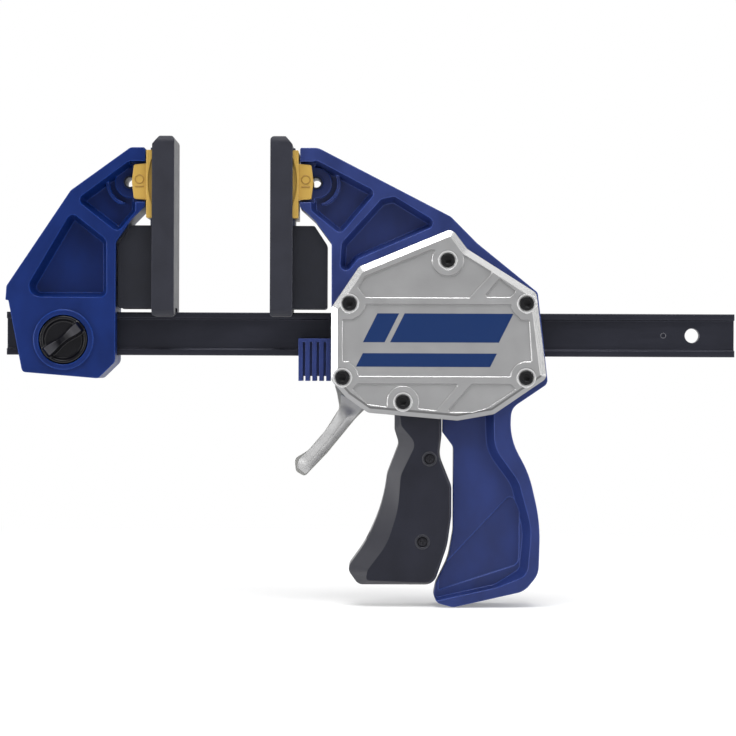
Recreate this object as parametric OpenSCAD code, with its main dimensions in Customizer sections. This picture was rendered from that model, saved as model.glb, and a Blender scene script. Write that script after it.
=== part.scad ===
// Quick release bar clamp: a steel bar with a pinned jaw at one end, and a trigger
// driven carriage with the second jaw, which slides along the bar and locks on it.
// X runs along the bar, Z up the jaws, Y across. The origin is the middle of the
// fixed pad's clamping face. Outlines are drawn against the bar's own axis.

/* [Bar] */
// Length of the bar
bar_length = 406; // [385:1:430]
// Height of the bar, over both flanges
bar_height = 24; // [22:0.5:26]
// Thickness of the bar across a flange
bar_thickness = 10; // [9:0.5:11]
// Thickness of the web between the flanges
bar_web = 4.4; // [3:0.2:6]
// Depth of each flange
bar_flange = 3.6; // [3:0.2:5]
// Radius of the bar's rolled edges
bar_edge = 0.7; // [0.3:0.1:1.2]
// How far the bar runs behind the fixed pad's face
bar_tail = 94.2; // [93:0.2:100]
// Bore of the hole at the free end
end_hole_d = 8; // [6:0.5:10]
// Distance from the free end to that hole
end_hole_inset = 23.4; // [18:0.2:30]
// Running clearance of the carriage on the bar, each side
bar_clearance = 0.15; // [0.1:0.05:0.3]

/* [Pads] */
// Jaw opening as drawn
opening = 53; // [40:1:100]
// Height of a pad
pad_height = 100; // [98:0.5:103]
// Width of a pad
pad_width = 40; // [36:1:44]
// Thickness of a pad's rubber boot
pad_thickness = 12.3; // [11:0.1:14]
// Height of the pads' lower edge above the bar's axis
pad_foot = 9.5; // [8:0.5:11]
// Clearance of the pads over and beside the bar
pad_clearance = 2.4; // [2:0.1:3.5]
// Wall of the rubber boot
boot_wall = 4; // [3:0.5:5]
// How far the pad's core stands out of the boot
core_stand = 1.3; // [1:0.1:2]
// Width of the heel behind a pad's lower half
heel_width = 26; // [22:1:28]
// How far the heel reaches behind the boot
heel_depth = 19.2; // [17:0.2:19.4]
// Distance from the pads' pivot down to the heel's top edge
heel_drop = 24.1; // [23.5:0.1:28]
// Height of the long bevel on the heel's top rear corner
heel_bevel = 10.6; // [8:0.2:12]
// Bevel on the boot's top rear corner
boot_bevel = 4; // [2:0.2:5]

/* [Pad clips] */
// Thickness of the clip's back plate over the core
clip_plate = 2; // [1.6:0.1:2.4]
// Width of the clip's back plate
clip_width = 36; // [33:1:38]
// Height of the clip's back plate
clip_height = 37.6; // [34:0.2:39]
// Height of the clip's ears
ear_height = 18.8; // [16:0.2:20]
// Gap between a clip and the jaw's tip
tip_gap = 0.8; // [0.7:0.1:1.2]

/* [Jaws] */
// Thickness of both jaws and of the frame
jaw_thickness = 33; // [31:0.5:34]
// Height of the jaws' top edge above the bar's axis
jaw_top = 103; // [101:0.5:105]
// Thickness of the web inside the jaws' pockets
jaw_web = 11; // [9:0.5:13]
// How far the walls of a jaw's pockets slope inwards from mouth to web
pocket_draft = 2.6; // [1.5:0.1:3]
// Gap between the fixed pad's heel and the jaw's edge
heel_gap = 1.1; // [0.9:0.1:2]
// Height of the pad pivots above the bar's axis
pivot_height = 84.1; // [83:0.1:85]
// Distance from a pad's face back to its pivot
pivot_back = 25.3; // [25:0.1:26]
// Outer radius of the hollow pivot sleeve
sleeve_r = 3.6; // [3.4:0.1:3.8]
// Bore radius of the hollow pivot sleeve
sleeve_bore_r = 2.6; // [2:0.1:2.8]

/* [Lock knob] */
// Radius of the knob
knob_r = 13.3; // [12:0.1:14]
// Radius of the threaded stud
stud_r = 4; // [3.5:0.1:4.4]
// Distance from the fixed pad's face back to the knob
knob_back = 61.2; // [58:0.2:63]
// Depth of the knob's centre below the bar's axis
knob_drop = 3.6; // [2:0.2:4.4]

/* [Housing] */
// Gap between the moving pad's heel and the housing
housing_gap = 2.5; // [2.3:0.1:4]
// Thickness of each cover plate
cover_thickness = 5.5; // [5:0.1:7]
// Width of the bevel round a cover plate
cover_bevel = 3.6; // [2.5:0.1:4.2]
// Width of the flat land round each bolt's seat in a cover plate
bolt_land = 3.3; // [2:0.1:4]
// Depth of the sunk panels in a cover plate
panel_depth = 0.8; // [0.5:0.1:1.2]
// Radius of the cover bolts' shanks
bolt_r = 2.5; // [2:0.1:2.6]
// Radius of the cover bolts' heads
bolt_head_r = 3.8; // [3.4:0.1:4.3]
// Width of the open ring round a bolt's head
bolt_ring = 1.6; // [0.5:0.1:1.8]

/* [Trigger] */
// Width across the trigger's grip
trigger_width = 30; // [28:0.5:31]
// Thickness of the steel in the trigger's core
trigger_steel = 3; // [2.5:0.1:3.2]
// Wall of the grip's shells in front of the steel
shell_wall = 4.5; // [3.5:0.1:5]
// Thickness of the handle's front web
web_thickness = 14; // [12:0.5:14.2]
// Width of the slope inside the handle's rim
rim_slope = 4.2; // [2:0.2:5]
// The same at the handle's foot, which the pulled trigger comes near
foot_slope = 1; // [0.5:0.1:1.4]
// Side clearance between the handle's web and the trigger's steel
web_clearance = 0.5; // [0.4:0.1:0.8]

/* [Drive and brake] */
// Thickness of each drive plate
drive_plate_t = 3; // [2.5:0.1:3.2]
// Width of the drive plates and the brake plate
grip_plate_w = 24; // [22:0.5:26]
// Thickness of the brake plate
brake_plate_t = 3.2; // [2.8:0.1:3.4]
// Wire diameter of the drive spring
drive_wire = 2; // [1.6:0.1:2.2]
// Wire diameter of the brake spring
brake_wire = 1; // [0.8:0.1:1.2]
// Width of the release lever
lever_width = 13; // [11:0.5:13.2]

/* [Hidden] */
$fn = 64;

fit = 0.05;            // radial clearance of pins in their bores
seat = 0.3;            // clearance between bodies that pass each other
through = 200;         // longer than anything that is cut through
arc_steps = 6;         // flats along a rounded corner

bar_top = bar_height / 2;
pad_mid = pad_foot + pad_height / 2;
jaw_half = jaw_thickness / 2;
web_half = jaw_web / 2;

// Pad stack, measured back from the clamping face
core_back = pad_thickness + core_stand;
heel_top = pivot_height - heel_drop;
clip_back = core_back + clip_plate;
tip_back = clip_back + tip_gap;
ear_back = pivot_back - 1.5;
tongue_half = 8;                       // half thickness of the jaw's tip between the ears
ear_in = tongue_half + seat;
ear_out = jaw_half - 1;
window = ear_height / 2 + 1.9;         // half height of the gap in the jaw's edge
sleeve_half = tongue_half + 2.4;
boss_r = 8.5;
ring_r = 12.5;
ring_w = 1.6;

// Housing frame of reference: X of its left edge, everything else set off from it
heel_back = pad_thickness + heel_depth;
hx = opening + heel_back + housing_gap;
cover_out = jaw_half + cover_thickness;
bolt_places = [[hx + 64.2, 40.9], [hx + 10, 16.9], [hx + 107.8, 17.2],
               [hx + 6.3, -24], [hx + 107.7, -23.8], [hx + 39.7, -37.3]];
trigger_axis = bolt_places[0];
release_axis = bolt_places[3];
nut_flats = 8;
nut_t = 4;

trigger_half = trigger_width / 2;
steel_in = web_thickness / 2 + web_clearance;
steel_out = steel_in + trigger_steel;
lever_half = lever_width / 2;

// Inside of the housing
brake_room = [hx + 11.4, hx + 25];     // brake chamber, left and right wall
drive_room = [hx + 29, hx + 99];       // drive chamber, left and right wall
room_top = bar_top + 15;
room_foot = -bar_top - 15;
drive_x = hx + 63.9;                   // face of the first drive plate
drive_back = drive_x + 2 * drive_plate_t;
fulcrum = [hx + 15, 17.5];             // where the brake plate leans on the frame
brake_tilt = 3.2;

// How far the fixed jaw's foot reaches behind the pad's face
foot_back = 93.4;

// ---------------------------------------------------------------- helpers

function unit(v) = v / norm(v);

function reverse(list) = [for (i = [len(list) - 1:-1:0]) list[i]];

// Fillet at corner q between p and s: q[2] is its radius, 0 for a sharp corner
function corner(p, q, s) =
    let (a = unit([p[0] - q[0], p[1] - q[1]]), b = unit([s[0] - q[0], s[1] - q[1]]),
         half = acos(a * b) / 2, c = [q[0], q[1]] + unit(a + b) * q[2] / sin(half),
         from = [q[0], q[1]] + a * q[2] / tan(half) - c,
         to = [q[0], q[1]] + b * q[2] / tan(half) - c,
         start = atan2(from[1], from[0]), turn = atan2(to[1], to[0]) - start,
         sweep = turn > 180 ? turn - 360 : turn < -180 ? turn + 360 : turn)
    q[2] == 0 ? [[q[0], q[1]]]
    : [for (i = [0:arc_steps]) c + q[2] * [cos(start + sweep * i / arc_steps),
                                          sin(start + sweep * i / arc_steps)]];

// Closed outline from corners [x, z, radius]
function rounded(corners) = let (n = len(corners))
    [for (i = [0:n - 1]) each corner(corners[(i + n - 1) % n], corners[i], corners[(i + 1) % n])];

// The same corners moved inwards by d; the list runs clockwise
function inset(corners, d) = let (n = len(corners))
    [for (i = [0:n - 1])
        let (p = corners[(i + n - 1) % n], q = corners[i], s = corners[(i + 1) % n],
             a = unit([p[0] - q[0], p[1] - q[1]]), b = unit([s[0] - q[0], s[1] - q[1]]),
             side = cross(a, b) > 0 ? 1 : -1, at = side * d / sin(acos(a * b) / 2) * unit(a + b))
        [q[0] + at[0], q[1] + at[1], max(0.4, q[2] - side * d)]];

// Triangles over an outline of n points, rung by rung from its first corner; a bent outline
// starts at one of its ends, so that each rung stays inside it
function ladder(n, base) = [for (i = [0:floor(n / 2) - 1]) let (k = n - 1 - i) each [
    if (i + 1 < k) [base + i, base + i + 1, base + k],
    if (i + 2 < k) [base + i + 1, base + k - 1, base + k]]];

// A plate with sloping edges, both outlines clockwise: the edge's outline runs from
// y[0] to y[1], and the face, which has as many corners, is at y[2]
module bevelled_plate(edge_corners, face_corners, y) {
    edge = rounded(edge_corners);
    face = rounded(face_corners);
    n = len(edge);
    points = concat([for (p = edge) [p[0], y[0], p[1]]], [for (p = edge) [p[0], y[1], p[1]]],
                    [for (p = face) [p[0], y[2], p[1]]]);
    sides = [for (i = [0:n - 1]) let (j = (i + 1) % n) each [
        [n + j, n + i, j], [j, n + i, i], [2 * n + j, 2 * n + i, n + j], [n + j, 2 * n + i, n + i]]];
    polyhedron(points, concat(sides, ladder(n, 2 * n), [for (t = ladder(n, 0)) reverse(t)]));
}

// Cuts a pocket into both sides, down to the web, with walls that slope as a mould's must
module drafted_pocket(mouth_corners, floor_corners, web) {
    for (side = [0, 1])
        mirror([0, side, 0]) bevelled_plate(mouth_corners, floor_corners, [through, jaw_half, web]);
}

// Draws in the bar's frame: the origin moves down to the bar's axis
module on_axis() {
    translate([0, 0, -pad_mid]) children();
}

// Extrudes an outline in X and Z between two Y values
module across(y0, y1) {
    translate([0, y1, 0]) rotate([90, 0, 0]) linear_extrude(y1 - y0) children();
}

// The same, centred on Y = 0
module slab(half) {
    across(-half, half) children();
}

// Both sides outside a central web
module both_sides(y0, y1) {
    across(y0, y1) children();
    across(-y1, -y0) children();
}

// A round bar or bore across the clamp
module cross_rod(at, r, y0 = -through, y1 = through) {
    translate([at[0], y1, at[1]]) rotate([90, 0, 0]) cylinder(r = r, h = y1 - y0);
}

// Draws a jaw or pad in distance behind its clamping face
module behind_face(moving) {
    translate([moving ? opening : 0, 0, 0]) mirror([moving ? 0 : 1, 0, 0]) children();
}

// The space of the bar with a clearance round it
module bar_space(gap, x0 = -through, x1 = 2 * through) {
    translate([x0, -bar_thickness / 2 - gap, -bar_top - gap])
        cube([x1 - x0, bar_thickness + 2 * gap, bar_height + 2 * gap]);
}

// Round wire coil along X
module coil(x0, x1, r, wire, turns) {
    sides = 8;
    per_turn = 14;
    rings = turns * per_turn;
    lead = x1 - x0 - wire;
    points = [for (i = [0:rings]) for (j = [0:sides - 1])
        let (t = 360 * i / per_turn, w = 360 * j / sides,
             rr = r + wire / 2 * cos(w))
        [x0 + wire / 2 + lead * i / rings + wire / 2 * sin(w), rr * cos(t), rr * sin(t)]];
    faces = concat(
        [[for (j = [sides - 1:-1:0]) j]],
        [for (i = [0:rings - 1]) for (j = [0:sides - 1])
            let (a = i * sides + j, b = i * sides + (j + 1) % sides)
            [b, b + sides, a + sides, a]],
        [[for (j = [0:sides - 1]) rings * sides + j]]);
    polyhedron(points, faces);
}

// ---------------------------------------------------------------- bar

// Rolled I section, seen along X
bar_quarter = [[bar_thickness / 2, bar_top], [bar_thickness / 2, bar_top - bar_flange],
               [bar_web / 2, bar_top - bar_flange]];
bar_section = rounded([
    for (p = bar_quarter) [p[0], p[1], bar_edge],
    for (p = reverse(bar_quarter)) [p[0], -p[1], bar_edge],
    for (p = bar_quarter) [-p[0], -p[1], bar_edge],
    for (p = reverse(bar_quarter)) [-p[0], p[1], bar_edge]]);
dimple_inset = 16;

module bar() color("dimgray") on_axis() difference() {
    translate([-bar_tail, 0, 0]) rotate([90, 0, 90]) linear_extrude(bar_length) polygon(bar_section);
    cross_rod([bar_length - bar_tail - end_hole_inset, 0], end_hole_d / 2);
    cross_rod([-knob_back, -knob_drop], stud_r + fit);
    // Punched locating dimple
    cross_rod([bar_length - bar_tail - end_hole_inset - dimple_inset, 0], 1.4,
              -through, -bar_web / 2 + 0.6);
}

// ---------------------------------------------------------------- jaw tips and pads

pivot = [pivot_back, pivot_height];

// What both jaws have at the tip: boss, ring and the window for the clip's ears
module tip_boss() {
    slab(tongue_half) translate(pivot) circle(boss_r);
    slab(tongue_half + 1.6) intersection() {
        translate(pivot) difference() {
            circle(ring_r + ring_w / 2);
            circle(ring_r - ring_w / 2);
        }
        translate([pivot_back + 3, pivot_height - 12]) square([20, 17]);
    }
}

module tip_cuts() {
    both_sides(tongue_half, through)
        translate([tip_back - 5, pivot_height - window]) square([ear_back + 6.3 - tip_back, 2 * window]);
    cross_rod(pivot, sleeve_r + fit);
}

module pivot_sleeve() difference() {
    cross_rod(pivot, sleeve_r, -sleeve_half, sleeve_half);
    cross_rod(pivot, sleeve_bore_r);
}

// Side view of a pad: bevelled at its top edge, front and back
pad_top = pad_foot + pad_height;
pad_outline = rounded([[0, pad_foot, 1.5], [0, pad_top, 2.5],
                       [pad_thickness - boot_bevel, pad_top, 1],
                       [pad_thickness, pad_top - 1.2 * boot_bevel, 1], [pad_thickness, pad_foot, 2]]);
core_top = pad_top - 1.2 * boot_bevel - 1.6;

module pad_notch() {
    translate([-1, -bar_thickness / 2 - pad_clearance, 0])
        cube([pad_thickness + heel_depth + 2, bar_thickness + 2 * pad_clearance, bar_top + pad_clearance]);
}

// The pad seen along X, with rounded corners
module pad_front(u0, u1, margin, r, top) {
    translate([u0, 0, 0]) rotate([90, 0, 90]) linear_extrude(u1 - u0)
        polygon(rounded([[-pad_width / 2 + margin, pad_foot + margin, r],
                         [pad_width / 2 - margin, pad_foot + margin, r],
                         [pad_width / 2 - margin, top, r], [-pad_width / 2 + margin, top, r]]));
}

module pad_boot(moving) on_axis() behind_face(moving) difference() {
    intersection() {
        slab(pad_width / 2) polygon(pad_outline);
        pad_front(0, pad_thickness, 0, 4, pad_top);
    }
    pad_front(boot_wall, pad_thickness + 1, boot_wall, 2, core_top);
    pad_notch();
}

module pad_core(moving) on_axis() behind_face(moving) difference() {
    union() {
        pad_front(boot_wall, pad_thickness, boot_wall, 2, core_top);
        // The rib that the clip straddles
        translate([pad_thickness, -clip_width / 2 + 5, heel_top])
            cube([core_stand, clip_width - 10, core_top - heel_top]);
    }
    pad_notch();
}

module pad_heel(moving) on_axis() behind_face(moving) {
    heel_foot = bar_top + pad_clearance - 0.4;
    difference() {
        slab(heel_width / 2) polygon(rounded([
            [pad_thickness, heel_foot, 0], [heel_back, heel_foot, 1.5],
            [heel_back, heel_top - heel_bevel, 1.5], [heel_back - 0.66 * heel_bevel, heel_top, 1.5],
            [pad_thickness, heel_top, 0]]));
        pad_notch();
    }
}

module pad_clip(moving) on_axis() behind_face(moving) difference() {
    union() {
        slab(clip_width / 2) polygon(rounded([
            [pad_thickness, pivot_height - clip_height / 2 - 1.4, 0.6],
            [clip_back, pivot_height - clip_height / 2 - 1.4, 0.6],
            [clip_back, pivot_height + clip_height / 2 - 1.4, 0.6],
            [pad_thickness, pivot_height + clip_height / 2 - 1.4, 0.6]]));
        both_sides(ear_in, ear_out) polygon(rounded([
            [clip_back - 1, pivot_height - ear_height / 2 - 0.8, 0],
            [ear_back - 1.2, pivot_height - ear_height / 2, 1],
            [ear_back, pivot_height, 12],
            [ear_back - 1.2, pivot_height + ear_height / 2, 1],
            [clip_back - 1, pivot_height + ear_height / 2 + 0.8, 0]]));
    }
    // Seat on the core's rib, saddles on the sleeve's ends, and the thumb scoops
    translate([0, -clip_width / 2 + 5, heel_top - 1]) cube([core_back, clip_width - 10, pad_top]);
    cross_rod(pivot, sleeve_r + fit, -sleeve_half - seat, sleeve_half + seat);
    for (side = [-1, 1])
        translate([0, side * (clip_width / 2 + 3.4), 0])
            cross_rod([clip_back - 38.5, pivot_height], 37.6, -5, 5);
}

module fixed_pivot_sleeve() color("silver") on_axis() behind_face(false) pivot_sleeve();
module moving_pivot_sleeve() color("silver") on_axis() behind_face(true) pivot_sleeve();
module fixed_pad_boot() color("darkslategray") pad_boot(false);
module moving_pad_boot() color("darkslategray") pad_boot(true);
module fixed_pad_core() color("midnightblue") pad_core(false);
module moving_pad_core() color("midnightblue") pad_core(true);
module fixed_pad_heel() color("dimgray") pad_heel(false);
module moving_pad_heel() color("dimgray") pad_heel(true);
module fixed_pad_clip() color("goldenrod") pad_clip(false);
module moving_pad_clip() color("goldenrod") pad_clip(true);

// ---------------------------------------------------------------- fixed jaw

jaw_front = heel_back + heel_gap;   // the jaw's edge beside the heel
base_top = bar_top + 8;
base_foot = -bar_top - 13;
knob_at = [knob_back, -knob_drop];
ring_out = knob_r + 3.2;
knob_floor = jaw_half - 4.2;
knob_face = jaw_half + 1.4;
knob_rim = 1.4;
knob_dish = 1.6;
knob_skin = 1;         // what is left of the dished face over the stud's end
stud_end = knob_face - knob_dish - knob_skin;
finger_half = knob_r - 0.6;
finger_stand = 4;
finger_angle = 38;
fixed_outline = rounded([
    [tip_back, jaw_top, 1], [tip_back + 8, jaw_top, 4], [57.5, jaw_top - 24, 6],
    [foot_back - 0.5, bar_top + 14, 3], [foot_back, bar_top + 6.2, 0.5],
    [foot_back - 1.6, bar_top + 6.2, 0.5], [foot_back - 9.4, base_foot + 3.4, 2.5],
    [jaw_front + 9.4, base_foot, 3], [jaw_front, base_foot + 9.2, 4],
    [jaw_front, heel_top - heel_bevel + 1, 4], [jaw_front - 8.4, heel_top + 2.6, 3],
    [tip_back, 70.4, 1]]);
upper_pocket = [
    [22, pivot_height + 14, 3], [54.6, 73.8, 3.4],
    [31.3, 55.8, 3.4], [21.6, 67.6, 3]];
lower_pocket = [
    [84.8, base_top, 6], [37.4, base_top, 4], [37.6, 51.8, 5], [57.2, 67.2, 3.4]];

module fixed_jaw() color("royalblue") on_axis() mirror([1, 0, 0]) difference() {
    union() {
        difference() {
            slab(jaw_half) polygon(fixed_outline);
            for (pocket = [upper_pocket, lower_pocket])
                drafted_pocket(pocket, inset(pocket, pocket_draft), web_half);
        }
        tip_boss();
        cross_rod(knob_at, ring_out, -knob_face, 0);
    }
    tip_cuts();
    mirror([1, 0, 0]) bar_space(fit);
    // Well for the knob, bore for the stud, and the captive nut's pocket
    cross_rod(knob_at, knob_r + 0.5, -through, -knob_floor);
    cross_rod(knob_at, stud_r + fit);
    translate([knob_at[0], through + jaw_half - nut_pocket, knob_at[1]]) rotate([90, 0, 0])
        cylinder(r = lock_nut_r + fit, h = through, $fn = 6);
}

lock_nut_r = 7.5;      // across its corners, halved
nut_pocket = 7;

module lock_knob() color("black") on_axis() mirror([1, 0, 0]) difference() {
    union() {
        difference() {
            cross_rod(knob_at, knob_r, -knob_face, -knob_floor - seat);
            cross_rod(knob_at, knob_r - knob_rim, -through, -knob_face + knob_dish);
        }
        // Finger bar across the dished face
        translate([knob_at[0], 0, knob_at[1]]) rotate([0, finger_angle, 0])
            across(-knob_face - finger_stand, -knob_face + knob_dish + 0.5) polygon(rounded([
                [-finger_half, -2.6, 2], [finger_half, -2.6, 2],
                [finger_half, 2.6, 2], [-finger_half, 2.6, 2]]));
    }
    cross_rod(knob_at, stud_r + fit, -stud_end, through);
}

module lock_stud() color("silver") on_axis() mirror([1, 0, 0])
    cross_rod(knob_at, stud_r, -stud_end + fit, jaw_half - 1);

module lock_nut() color("silver") on_axis() mirror([1, 0, 0]) difference() {
    translate([knob_at[0], jaw_half - nut_pocket + 6.4, knob_at[1]]) rotate([90, 0, 0])
        cylinder(r = lock_nut_r, h = 6.4, $fn = 6);
    cross_rod(knob_at, stud_r + fit);
}

// ---------------------------------------------------------------- housing

frame_outline = rounded([
    // Arm, from the tip over the top to the housing's right end
    [opening + tip_back, jaw_top, 1], [opening + 26.5, jaw_top, 8], [hx + 66, 65.2, 7],
    [hx + 80.5, 50.6, 8], [hx + 114.2, 23.4, 3],
    // Right end and the handle's back
    [hx + 120, -27, 4], [hx + 100, -40.6, 8], [hx + 98.8, -57, 36], [hx + 109.8, -77, 60],
    [hx + 116, -104, 90], [hx + 115.2, -132.4, 12], [hx + 107.5, -142, 12],
    // Butt and the front edge, up to the notch under the housing
    [hx + 68, -151, 6], [hx + 56.6, -148, 5], [hx + 58.6, -138.5, 8], [hx + 65.4, -124.5, 30],
    [hx + 68.2, -109, 20],
    [hx + 68.2, -62.5, 4], [hx + 62.2, -54.4, 1], [hx + 62.2, -43.4, 0],
    // Underside of the housing, lower left bolt, left edge
    [hx + 22, -43.2, 3], [hx + 8.4, -34.4, 3], [hx + 0.2, -26, 6],
    [hx, heel_top - heel_bevel + 1, 4], [hx - 9.2, heel_top + 2.8, 3], [opening + tip_back, 70.4, 1]]);
arm_upper_pocket = [
    [opening + 22, pivot_height + 14, 3], [hx + 24.8, 78.8, 3.2], [hx + 4.9, 55.2, 3.4], [opening + 22.6, 68.2, 3]];
arm_lower_pocket = [
    [hx + 59.8, 61.2, 3.2], [hx + 14.6, 41.6, 4], [hx + 4.2, 28.4, 3.2],
    [hx + 5.6, 50.6, 4], [hx + 27.4, 74.8, 3], [hx + 34.6, 76.4, 3]];
// The handle's rim slopes down to the panel; the trigger needs the panel's other edges upright
handle_rim = [
    [hx + 85, room_foot + 6, 3], [hx + 90.2, -43, 5], [hx + 90.7, -63, 20],
    [hx + 104, -81, 24], [hx + 111.4, -108, 40], [hx + 109, -133.4, 8], [hx + 92, -140, 10],
    [hx + 60, -147.2, 0.5]];
handle_open = [
    [hx + 38, -147.2, 0.5], [hx + 38, -45.5, 0.5], [hx + 46, -35, 0.5], [hx + 46, room_foot + 6, 0.5]];
handle_panel = concat(handle_rim, handle_open);
handle_floor = [for (i = [0:len(handle_panel) - 1])
    i < len(handle_rim) - 2 ? inset(handle_panel, rim_slope)[i]
    : i < len(handle_rim) ? inset(handle_panel, foot_slope)[i] : handle_panel[i]];
// Deeper level of the handle's panel, behind a slanting crease
panel_step = 0.8;
handle_step = rounded([
    [hx + 60, -131.2, 0], [hx + 100.8, -87.7, 3], [hx + 105.2, -98, 8], [hx + 104.7, -127.6, 5],
    [hx + 60, -142.2, 0]]);
head_pocket = rounded([
    [hx + 43, room_top - 6, 0], [hx + 50, 50.6, 5], [hx + 72, 50.6, 5], [hx + 80, room_top - 6, 0]]);
brake_pocket = rounded([
    [brake_room[0], -36, 0], [brake_room[1], -36, 0], [brake_room[1], room_top - 3, 2],
    [fulcrum[0] - seat, room_top - 3, 0], [fulcrum[0] - seat, 12.4, 0], [brake_room[0], 9.4, 0]]);
drive_pocket = rounded([
    [drive_room[0], room_foot, 3], [drive_room[1], room_foot, 3],
    [drive_room[1], room_top, 3], [drive_room[0], room_top, 3]]);
lever_slot = rounded([
    [hx - 5, -17.6, 0], [hx + 11.4, -17.6, 0], [hx + 25, -34, 0], [hx + 25.4, -50, 0], [hx - 5, -50, 0]]);

module main_frame() color("royalblue") on_axis() difference() {
    union() {
        difference() {
            slab(jaw_half) polygon(frame_outline);
            for (pocket = [arm_upper_pocket, arm_lower_pocket])
                drafted_pocket(pocket, inset(pocket, pocket_draft), web_half);
            drafted_pocket(handle_panel, handle_floor, web_thickness / 2);
            both_sides(web_thickness / 2 - panel_step, through) polygon(handle_step);
            both_sides(web_thickness / 2, through) polygon(head_pocket);
            slab(through) polygon(brake_pocket);
            slab(through) polygon(drive_pocket);
            slab(lever_half + 0.5) polygon(lever_slot);
        }
        translate([opening, 0, 0]) tip_boss();
    }
    translate([opening, 0, 0]) tip_cuts();
    bar_space(bar_clearance);
    for (place = bolt_places) cross_rod(place, bolt_r + 0.1);
    cross_rod(trigger_axis, trigger_sleeve_r + fit);
}

// Ribbed guide that the bar rides in, on the housing's left edge
guide_top = -2.5;
guide_foot = -bar_top - 14;
fins = 5;

module bar_guide() color("royalblue") on_axis() difference() {
    union() {
        slab(10) translate([hx - 18, guide_foot + 2.7]) square([18, guide_top - 1.6 - guide_foot - 2.7]);
        for (i = [0:fins - 1])
            slab(13) translate([hx - 18.2 + 3.85 * i, guide_foot])
                square([2.3, guide_top - guide_foot]);
        slab(13) translate([hx - 18, guide_top - 1.8]) square([18, 1.8]);
    }
    bar_space(bar_clearance);
}

// ---------------------------------------------------------------- covers

cover_corners = [
    [hx + 66.5, 58.4, 4.4], [hx + 75, 47.2, 4], [hx + 113.3, 23, 4.4], [hx + 119.2, -24, 4.4],
    [hx + 90, -44, 6], [hx + 70, -47.6, 8], [hx + 20.4, -43.4, 6], [hx + 8.2, -34.8, 4.4],
    [hx, -25.4, 6], [hx, 14.6, 4.4], [hx + 15.2, 37.2, 4.4]];
bevel_rim = 3;         // height of the cover's straight edge below its bevel
panels = [
    [[hx + 14.6, 25.5, 1], [hx + 18.3, 31.6, 1.5], [hx + 55.1, 46.7, 0.6], [hx + 74.5, 43.1, 0.6],
     [hx + 89, 34.2, 1], [hx + 76.2, 20.1, 1], [hx + 18.7, 20.1, 0.6]],
    [[hx + 92.7, 31, 1], [hx + 101.9, 23.5, 1], [hx + 98.7, 20.5, 1], [hx + 84, 20.5, 1]],
    [[hx + 19, 16.5, 0.6], [hx + 98.9, 16.5, 0.6], [hx + 104.4, 8, 0.6], [hx + 109.2, 8, 1],
     [hx + 110.8, -15, 1], [hx + 105.6, -15, 0.6], [hx + 99.8, -23.3, 0.6], [hx + 15.1, -23.3, 0.6],
     [hx + 9.8, -15.3, 0.6], [hx + 6.2, -15.3, 1], [hx + 6.2, 8, 1], [hx + 12.5, 8, 0.6]],
    [[hx + 14.6, -27.4, 1], [hx + 70.8, -27.4, 1], [hx + 58.2, -42.2, 1], [hx + 48.1, -41, 0.6],
     [hx + 47.6, -35, 0.6], [hx + 31.6, -35, 0.6], [hx + 30.9, -40.2, 0.6], [hx + 20.1, -38.8, 1.5],
     [hx + 11.9, -30.5, 1]],
    [[hx + 77.5, -27.4, 1], [hx + 99.1, -27.4, 0.6], [hx + 102.2, -30.3, 1], [hx + 85.8, -40.9, 4],
     [hx + 78, -43, 4], [hx + 63.8, -43, 1]]];

// One cover, drawn for the side at negative Y
module cover_body() difference() {
    bevelled_plate(cover_corners, inset(cover_corners, cover_bevel),
                   [-jaw_half, -jaw_half - bevel_rim, -cover_out]);
    // The sunk panels end round a land at each bolt
    difference() {
        for (panel = panels) across(-through, -cover_out + panel_depth) polygon(rounded(panel));
        for (place = bolt_places) cross_rod(place, bolt_head_r + bolt_ring + bolt_land);
    }
    for (place = bolt_places) cross_rod(place, bolt_r + 0.1);
}

module front_cover() color("lightgray") on_axis() difference() {
    cover_body();
    for (place = bolt_places) cross_rod(place, bolt_head_r + bolt_ring, -through, -cover_out + head_sink);
}

module rear_cover() color("lightgray") on_axis() difference() {
    mirror([0, 1, 0]) cover_body();
    for (place = bolt_places) translate([place[0], through + cover_out - nut_t, place[1]])
        rotate([90, 0, 0]) cylinder(r = nut_flats / sqrt(3) + fit, h = through, $fn = 6);
}

head_sink = 2.2;       // how deep a bolt's head sits in the cover
head_t = 3.2;

module cover_bolts() color("black") on_axis() for (place = bolt_places) difference() {
    union() {
        cross_rod(place, bolt_r, -cover_out + head_sink, cover_out - 0.6);
        cross_rod(place, bolt_head_r, -cover_out + head_sink - head_t, -cover_out + head_sink);
    }
    translate([place[0], -cover_out + head_sink - head_t + 2, place[1]]) rotate([90, 0, 0])
        cylinder(r = 2.3, h = 4, $fn = 6);
}

module cover_nuts() color("silver") on_axis() for (place = bolt_places) difference() {
    translate([place[0], cover_out - 0.2, place[1]]) rotate([90, 0, 0])
        cylinder(r = nut_flats / sqrt(3), h = nut_t - 0.2, $fn = 6);
    cross_rod(place, bolt_r + fit);
}

// ---------------------------------------------------------------- trigger

trigger_sleeve_r = 4.6;
nose_r = 4;
eye_r = 8.5;
nose_at = [drive_x - seat - nose_r, 16.3];
screw_places = [[hx + 54.7, -69], [hx + 50.9, -115]];
screw_r = 1.6;

// Front edge of the grip from the housing down, set off from the housing's left edge
grip_front = [[35.4, -53, 4], [37.8, -60.5, 6], [31.3, -77.5, 14], [29.2, -94, 90], [19.2, -116, 60]];
grip_top = -44;
slope_depth = 4.2;
grip_foot = -138.9;

function front_edge(inset) = [for (p = grip_front) [hx + p[0] + inset, p[1], max(2, p[2] - inset)]];

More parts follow.
